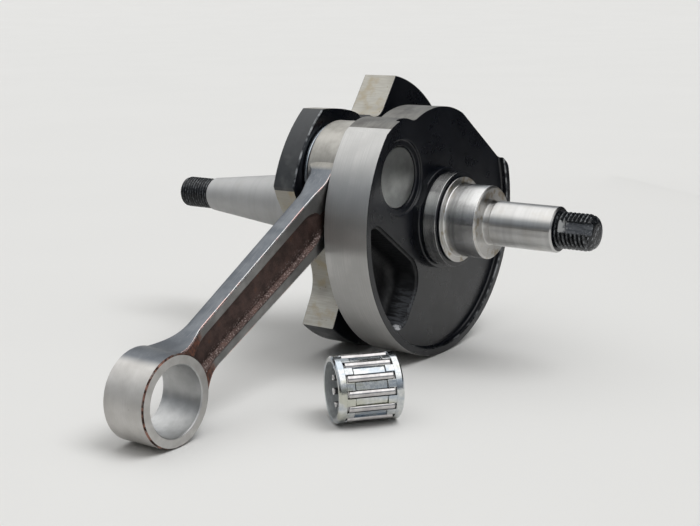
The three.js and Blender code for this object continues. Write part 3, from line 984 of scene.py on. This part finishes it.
def flywheel_keyway():
    """Half-moon key slot, cut by a disc on edge."""
    cutter_r, half_width, station, height = 8.0, 1.5, -72.0, 12.6
    disc = lathe(rounded(both_ways([(-half_width, 0), (-half_width, cutter_r, 0.2)])), 96, rule=THREAD)
    turn = Matrix.Rotation(pi / 2, 4, "Z")
    return moved(disc, Matrix.Translation((station, 0, -height)) @ turn)


def swept(profile, start, end, rule):
    """Solid of an (x, radius) outline carried round the crank axis from start to end degrees."""
    build = bmesh.new()
    rings = []
    for y, z in arc((0, 0), 1, start, end):
        rings.append([build.verts.new((x, y * radius, z * radius)) for x, radius in profile])
    skin(build, rings, capped=True)
    return mesh_of(build, rule)


def boss_chamfer():
    """Cutter for the rubbed edge between the boss's face and its rim."""
    width, spare, reach = 0.4, 0.03, 21
    profile = [(FLY_PIN_WALL - width, WEB_R + spare), (FLY_PIN_WALL + spare, WEB_R - width),
               (FLY_PIN_WALL + 1, WEB_R - width), (FLY_PIN_WALL + 1, WEB_R + 1),
               (FLY_PIN_WALL - width, WEB_R + 1)]
    return swept(profile, -reach, reach, WORN)


def flywheel_half():
    def web_rule(centre, normal):
        if 0.2 < abs(normal.x) < 0.97 and centre.y > 28 and centre.x > FLY_WEB_FRONT - 1:
            return WORN
        if normal.x > 0.6:
            return BLACK
        if normal.x < -0.6 or centre.yz.length > WEB_R - RIM_BAND:
            return FORGED
        return MILLED

    web = prism(fly_web_outline(), FLY_WEB_BACK, FLY_WEB_FRONT, 0.45, web_rule)
    step_r, step_y, wide, bore_r = 17, 22, WEB_R + 1, PIN_R + 0.05
    step = [(y, z) for y, z in arc((THROW, 0), step_r, 90, 270, 4) if y < step_y + 2]
    step = [(step_y, wide)] + step + [(step_y, -wide), (wide, -wide), (wide, wide)]
    boss_step = prism(step, FLY_PIN_WALL, FLY_WEB_FRONT + 2, 0, BLACK)
    bore = at_pin([(FLY_WEB_BACK - 3, 0), (FLY_WEB_BACK - 3, bore_r), (0, bore_r), (0, 0)])
    web = cut(web, boss_step, boss_chamfer())
    web = fused(web, flywheel_shaft())
    web = cut(web, bore, flywheel_keyway())
    return fused(web, flywheel_thread())


# ---- Crankpin ----


def crankpin():
    x0, x1 = FLY_WEB_BACK + PIN_INSET, -PIN_INSET - LIP_DEPTH
    return at_pin([(x0, 0), (x0, PIN_R, 0.5), (x1, PIN_R, 0.5), (x1, 0)], 96)


# ---- Connecting rod ----


def ease(value):
    value = min(max(value, 0), 1)
    return value * value * (3 - 2 * value)


def shank_height(y):
    """Half height of the shank, which flares into both eyes."""
    near, far, small_flare, small_reach, big_flare = 8.2, 6.5, 4.1, 12, 0.016
    height = near + (far - near) * (y - SHANK_START) / (SHANK_END - SHANK_START)
    if y > SHANK_END:
        height = far + small_flare * ((y - SHANK_END) / small_reach) ** 2
    if y < SHANK_START:
        height = near + big_flare * (SHANK_START - y) ** 2
    return height


def shank_width(y):
    """Half thickness of the shank. It widens into the eyes, but clears the web as the rod swings."""
    return 2.5 + 3.3 * ease((y - 77) / 13) + 1.1 * ease((23 - y) / 7) + 1.7 * ease((13.9 - y) / 2.5)


def channel_height(y):
    """Half height of the channel, rounded off at its big end."""
    start, rounding = 22.5, 7.0
    height = 4.5 - 1.0 * (y - SHANK_START) / (SHANK_END - SHANK_START)
    into = min(max((y - start) / rounding, 0.05), 1)
    return height * sqrt(1 - (1 - into) ** 2)


def channel_depth(y):
    """Depth of the forged channel below the flange faces."""
    floor = 1.15
    return (shank_width(y) - floor) * ease((y - 22.5) / 5) * ease((88 - y) / 6)


def shank_section(y):
    """Points of the H section at station y, once round."""
    height, width, depth, channel = shank_height(y), shank_width(y), channel_depth(y), channel_height(y)
    edge = 0.45
    quarter = [(0, height + 0.12), (width * 0.55, height + 0.08), (width - edge, height)]
    for angle in (30, 60, 90):
        turn = radians(angle)
        quarter.append((width - edge * (1 - sin(turn)), height - edge * (1 - cos(turn))))
    lip = ((0.0, 0.62), (0.03, 0.42), (0.14, 0.22), (0.5, -0.12), (0.86, -0.46), (0.97, -0.7), (1, -1))
    for share, rise in lip:
        quarter.append((width - depth * share, channel + rise))
    quarter += [(width - depth, channel * 0.4), (width - depth, 0)]
    below = [(x, -z) for x, z in reversed(quarter[:-1])]
    half = quarter + below
    return half + [(-x, z) for x, z in reversed(half[1:-1])]


def shank():
    def rule(centre, normal):
        if abs(centre.z) > shank_height(centre.y) - 0.05 and abs(normal.z) > 0.6:
            return OUTSIDE
        if abs(centre.z) > shank_height(centre.y) - 0.5:
            return RIDGE
        if abs(centre.z) > channel_height(centre.y) + 0.5:
            return FLANGE
        return CHANNEL

    start, end, steps = 9.0, 92.0, 100
    build = bmesh.new()
    rings = []
    for i in range(steps + 1):
        y = start + (end - start) * i / steps
        ring = []
        for x, z in shank_section(y):
            spot = Vector((x, y, z))
            if abs(z) < channel_height(y) and channel_depth(y) > 0.3:
                spot.x += copysign(0.09, x) * noise.noise(spot * 0.9)
            ring.append(build.verts.new(spot))
        rings.append(ring)
    skin(build, rings, capped=True)
    return mesh_of(build, rule)


def eye(width, outer, middle, chamfer):
    """Solid disc of one eye."""
    half = width / 2

    def rule(centre, normal):
        if abs(normal.x) > 0.95:
            return EYE_FACE
        return EDGE if abs(centre.x) > half - chamfer else OUTSIDE

    corners = both_ways([(-half, 0), (-half, outer - chamfer), (-half + chamfer, outer, 0.1)])
    return moved(lathe(rounded(corners), 160, rule=rule), Matrix.Translation((0, middle, 0)))


def eye_bore(width, bore, middle, chamfer):
    half = width / 2
    corners = both_ways([(-half - 1, 0), (-half - 1, bore + chamfer), (-half, bore + chamfer),
                         (chamfer - half, bore, 0.1)])
    return moved(lathe(rounded(corners), 144, rule=BORE), Matrix.Translation((0, middle, 0)))


def connecting_rod():
    rod = fused(shank(), eye(BIG_END_WIDTH, BIG_END_R, 0, 0.5),
                eye(SMALL_END_WIDTH, SMALL_END_R, ROD_LENGTH, 0.4))
    return cut(rod, eye_bore(BIG_END_WIDTH, BIG_END_BORE, 0, 0.4),
               eye_bore(SMALL_END_WIDTH, SMALL_END_BORE, ROD_LENGTH, 0.25))


# ---- Bearings and washers ----


def cage(length, outer, bore, bars, window_length, bar_width, sink):
    """Bearing cage: two end rings joined by bars with flat tops, sunk between their end tabs."""
    half, ring = length / 2, window_length / 2
    corners = [(-half, bore, 0.1), (-half, outer - 0.45, 0.1), (0.45 - half, outer, 0.12),
               (-ring, outer, 0.12), (-ring, bore, 0.1)]
    left = lathe(rounded(corners), 144, closed=True)
    right = moved(lathe(rounded(corners), 144, closed=True), Matrix.Rotation(pi, 4, "Z"))
    top, tab, foot = outer - 0.12, ring - 2.1, bore + 0.12
    end, dip = ring + 0.3, tab - 0.3
    side = [(-end, foot), (end, foot), (end, top), (tab, top, 0.1), (dip, top - sink, 0.1),
            (-dip, top - sink, 0.1), (-tab, top, 0.1), (-end, top)]
    shapes = []
    for i in range(bars):
        bar = prism(rounded(side), -bar_width / 2, bar_width / 2, 0.14)
        bar.transform(Matrix.Rotation(-pi / 2, 4, "Z"))
        shapes.append(moved(bar, Matrix.Rotation(2 * pi * (i + 0.5) / bars, 4, "X")))
    whole = fused(all_in(left, right), all_in(*shapes))
    for face in whole.polygons:
        inward = face.center.yz.dot(face.normal.yz) < 0
        face.material_index = 1 if inward and face.center.yz.length < bore + 0.2 else 0
    return whole


def roller(radius, length):
    """Roller with rounded ends, shallowly dished in the middle."""
    half = length / 2
    corners = both_ways([(0.08 - half, 0), (0.08 - half, radius * 0.45, 0.1), (-half, radius * 0.6, 0.1),
                         (-half, radius, 0.18)])
    return lathe(rounded(corners), 40)


def washer(middle):
    half, outer, bore = 0.5, 14.8, 9.2
    corners = [(middle - half, bore, 0.15), (middle - half, outer, 0.2), (middle + half, outer, 0.2),
               (middle + half, bore, 0.15)]
    return at_pin(corners, closed=True)


# ---- Stage ----


def camera():
    turn, rise, roll, reach = radians(35.0), radians(12.07), radians(-0.65), 0.3964
    target = Vector((-0.08435, 0, -0.01789))
    back = Vector((sin(turn) * cos(rise), -cos(turn) * cos(rise), sin(rise)))
    level = Vector((cos(turn), sin(turn), 0))
    upright = back.cross(level)
    right = cos(roll) * level + sin(roll) * upright
    up = back.cross(right)
    data = bpy.data.cameras.new("camera")
    data.lens = 63.8
    data.clip_start, data.clip_end = 0.01, 20
    holder = added("camera", data)
    facing = Matrix((right, up, back)).transposed().to_4x4()
    holder.matrix_world = Matrix.Translation(target + back * reach) @ facing
    bpy.context.scene.camera = holder


def studio_floor():
    """Pale floor that turns up softly far out, all the way round."""
    flat_r, rim_r, rim_height = 3.0, 6.0, 0.35
    stations = [(0, flat_r * i / 12) for i in range(13)]
    for i in range(1, 13):
        turn = pi / 2 * i / 12
        stations.append((rim_height * (1 - cos(turn)), flat_r + (rim_r - flat_r) * sin(turn)))
    mesh = moved(lathe(stations, 96), ALONG_X_TO_Z)
    mesh.shade_smooth()
    keep_own_place(mesh)
    floor = added("floor", mesh)
    floor.location = (PIN_PLACE.x, 0, FLOOR)
    f = Finish("pale_floor", metallic=0.0, roughness=0.75, Specular_IOR_Level=0.1)
    shade = f.grain(0.16, 2.0)
    colour = f.tones(shade, (0.772, 0.772, 0.764), (0.782, 0.782, 0.774))
    mesh.materials.append(f.use(colour))


def key_light(direction, strength, spread):
    """Broad, far light. Metal doesn't mirror it."""
    data = bpy.data.lights.new("key_light", "SUN")
    data.energy = strength
    data.angle = radians(spread)
    holder = added("key_light", data)
    holder.rotation_mode = "QUATERNION"
    holder.rotation_quaternion = (-Vector(direction)).to_track_quat("-Z", "Y")
    holder.visible_glossy = False
    holder.visible_camera = False


def black_card(name, place, heading, size):
    """Dark card standing out of shot. Only mirroring surfaces see it."""
    width, height = size
    card = added(name, box((-width / 2, -0.004, 0), (width / 2, 0.004, height), 0.002))
    card.location = (*place, FLOOR)
    card.rotation_euler = (0, 0, radians(heading))
    keep_own_place(card.data)
    f = Finish(name, metallic=0.0, roughness=0.9)
    fibres = f.grain(0.004, 3.0)
    card.data.materials.append(f.use(f.blend(fibres, (0.010, 0.011, 0.014), (0.018, 0.020, 0.024))))
    card.visible_camera = False
    card.visible_diffuse = False
    card.visible_shadow = False


def studio_world():
    """Pale tent for the floor. Metal mirrors a bright top, a dim front and a pale far left."""
    world = bpy.data.worlds.new("studio")
    bpy.context.scene.world = world
    world.use_nodes = True
    world.cycles.sampling_method = "NONE"
    nodes, links = world.node_tree.nodes, world.node_tree.links

    def add(kind, inputs, **settings):
        made = nodes.new(kind)
        for key, value in settings.items():
            setattr(made, key, value)
        for key, value in inputs.items():
            if isinstance(value, bpy.types.NodeSocket):
                links.new(value, made.inputs[key])
            else:
                made.inputs[key].default_value = value
        return made

    def smooth(value, low, high):
        inputs = {0: value, 1: low, 2: high}
        return add("ShaderNodeMapRange", inputs, interpolation_type="SMOOTHSTEP").outputs[0]

    def mixed(factor, first, second):
        return add("ShaderNodeMix", {0: factor, 6: first, 7: second}, data_type="RGBA").outputs[2]

    heading = add("ShaderNodeTexCoord", {}).outputs["Generated"]
    height = add("ShaderNodeSeparateXYZ", {0: heading}).outputs[2]
    leftward = add("ShaderNodeVectorMath", {0: heading, 1: (-0.6, 0.8, 0)}, operation="DOT_PRODUCT")
    far_left = leftward.outputs["Value"]
    front = (0.15, 0.16, 0.178, 1)
    pale = (0.58, 0.575, 0.56, 1)
    low = mixed(smooth(far_left, 0.25, 0.75), front, pale)
    blue = mixed(smooth(height, 0.06, 0.42), low, (0.47, 0.50, 0.53, 1))
    mirrored = mixed(smooth(height, 0.42, 0.80), blue, (1.75, 1.75, 1.74, 1))
    ray = add("ShaderNodeLightPath", {}).outputs
    backdrop = (0.70, 0.697, 0.682, 1)
    tent = mixed(smooth(height, 0.50, 0.95), (0.13, 0.13, 0.128, 1), (1.25, 1.243, 1.222, 1))
    unseen = mixed(ray["Is Glossy Ray"], tent, mirrored)
    links.new(mixed(ray["Is Camera Ray"], unseen, backdrop), nodes["Background"].inputs["Color"])


def studio():
    """Soft light from the upper right for the shadows, dark cards, and the tent round it all."""
    key_light((0.45, 0.07, 0.89), 1.2, 34)
    black_card("right_card", (0.13, 0.18), -35, (0.7, 0.45))
    black_card("left_card", (-0.26, -0.24), -40, (0.6, 0.055))
    studio_world()


# ---- The object ----


def build_crank():
    skins = [black_phosphate(), ground_rim(), milled_cut(), ground_shaft(), black_thread(),
             stained_face(), forged_black(), pocket_black(), worn_edge(), dull_cut(), slot_floor(),
             ground_cone(), ground_hub()]
    piece("drive_side_half", drive_half(), CRANK_PLACE, "crank",
          ["drive_side_crank_half"], skins)
    piece("flywheel_side_half", flywheel_half(), CRANK_PLACE, "crank",
          ["flywheel_side_crank_half"], skins)
    piece("pressed_crankpin", crankpin(), CRANK_PLACE, "crank", ["crankpin"], [pin_end()])


def build_rod():
    skins = [rod_outside(), rod_flange(), rod_channel(), rod_eye_face(), rod_bore(), rod_edge(),
             rod_ridge()]
    small_end_z = FLOOR / MM + SMALL_END_R
    fall = asin((PIN_PLACE.z / MM - small_end_z) / ROD_LENGTH)
    place = Matrix.Translation(PIN_PLACE) @ Matrix.Rotation(pi + fall, 4, "X")
    piece("forged_rod", connecting_rod(), place, "rod", ["connecting_rod"], skins)


def build_washers():
    steel = washer_steel()
    gap = (DRIVE_PIN_WALL - FLY_PIN_WALL - BIG_END_WIDTH) / 4
    for side, sign in (("drive_side", 1), ("flywheel_side", -1)):
        middle = ROD_MID + sign * (BIG_END_WIDTH / 2 + gap)
        piece("washer_" + side, washer(middle), CRANK_PLACE, "washer_" + side,
              ["thrust_washer_" + side], [steel])


def build_bearing(name, body, place, cage_sizes, rollers, roller_word, skins):
    """Cage and rollers of one bearing, its axis along +X of place."""
    plating, polish, inside = skins
    count, pitch_r, radius, length = rollers
    piece(name + "_cage_finished", cage(*cage_sizes), place, body, [name + "_cage"],
          [plating, inside])
    for i in range(count):
        turn = Matrix.Rotation(2 * pi * i / count, 4, "X")
        spot = place @ turn @ Matrix.Translation((0, 0, pitch_r * MM))
        label = f"{name}_{roller_word}_{i + 1}"
        piece(label + "_polished", roller(radius, length), spot, body, [label], [polish])


def build_bearings():
    skins = [plated_cage(), polished_needle(), cage_bore()]
    heading = atan2(BEARING_AXIS.y, BEARING_AXIS.x)
    place = Matrix.Translation(BEARING_PLACE) @ Matrix.Rotation(heading, 4, "Z")
    build_bearing("small_end", "small_end_bearing", place, SMALL_CAGE, SMALL_NEEDLES, "needle", skins)
    place = CRANK_PLACE @ Matrix.Translation((ROD_MID * MM, THROW * MM, 0))
    build_bearing("big_end", "big_end_bearing", place, BIG_CAGE, BIG_ROLLERS, "roller", skins)


camera()
studio_floor()
studio()
bpy.context.scene.view_settings.view_transform = "Standard"
build_crank()
build_rod()
build_washers()
build_bearings()
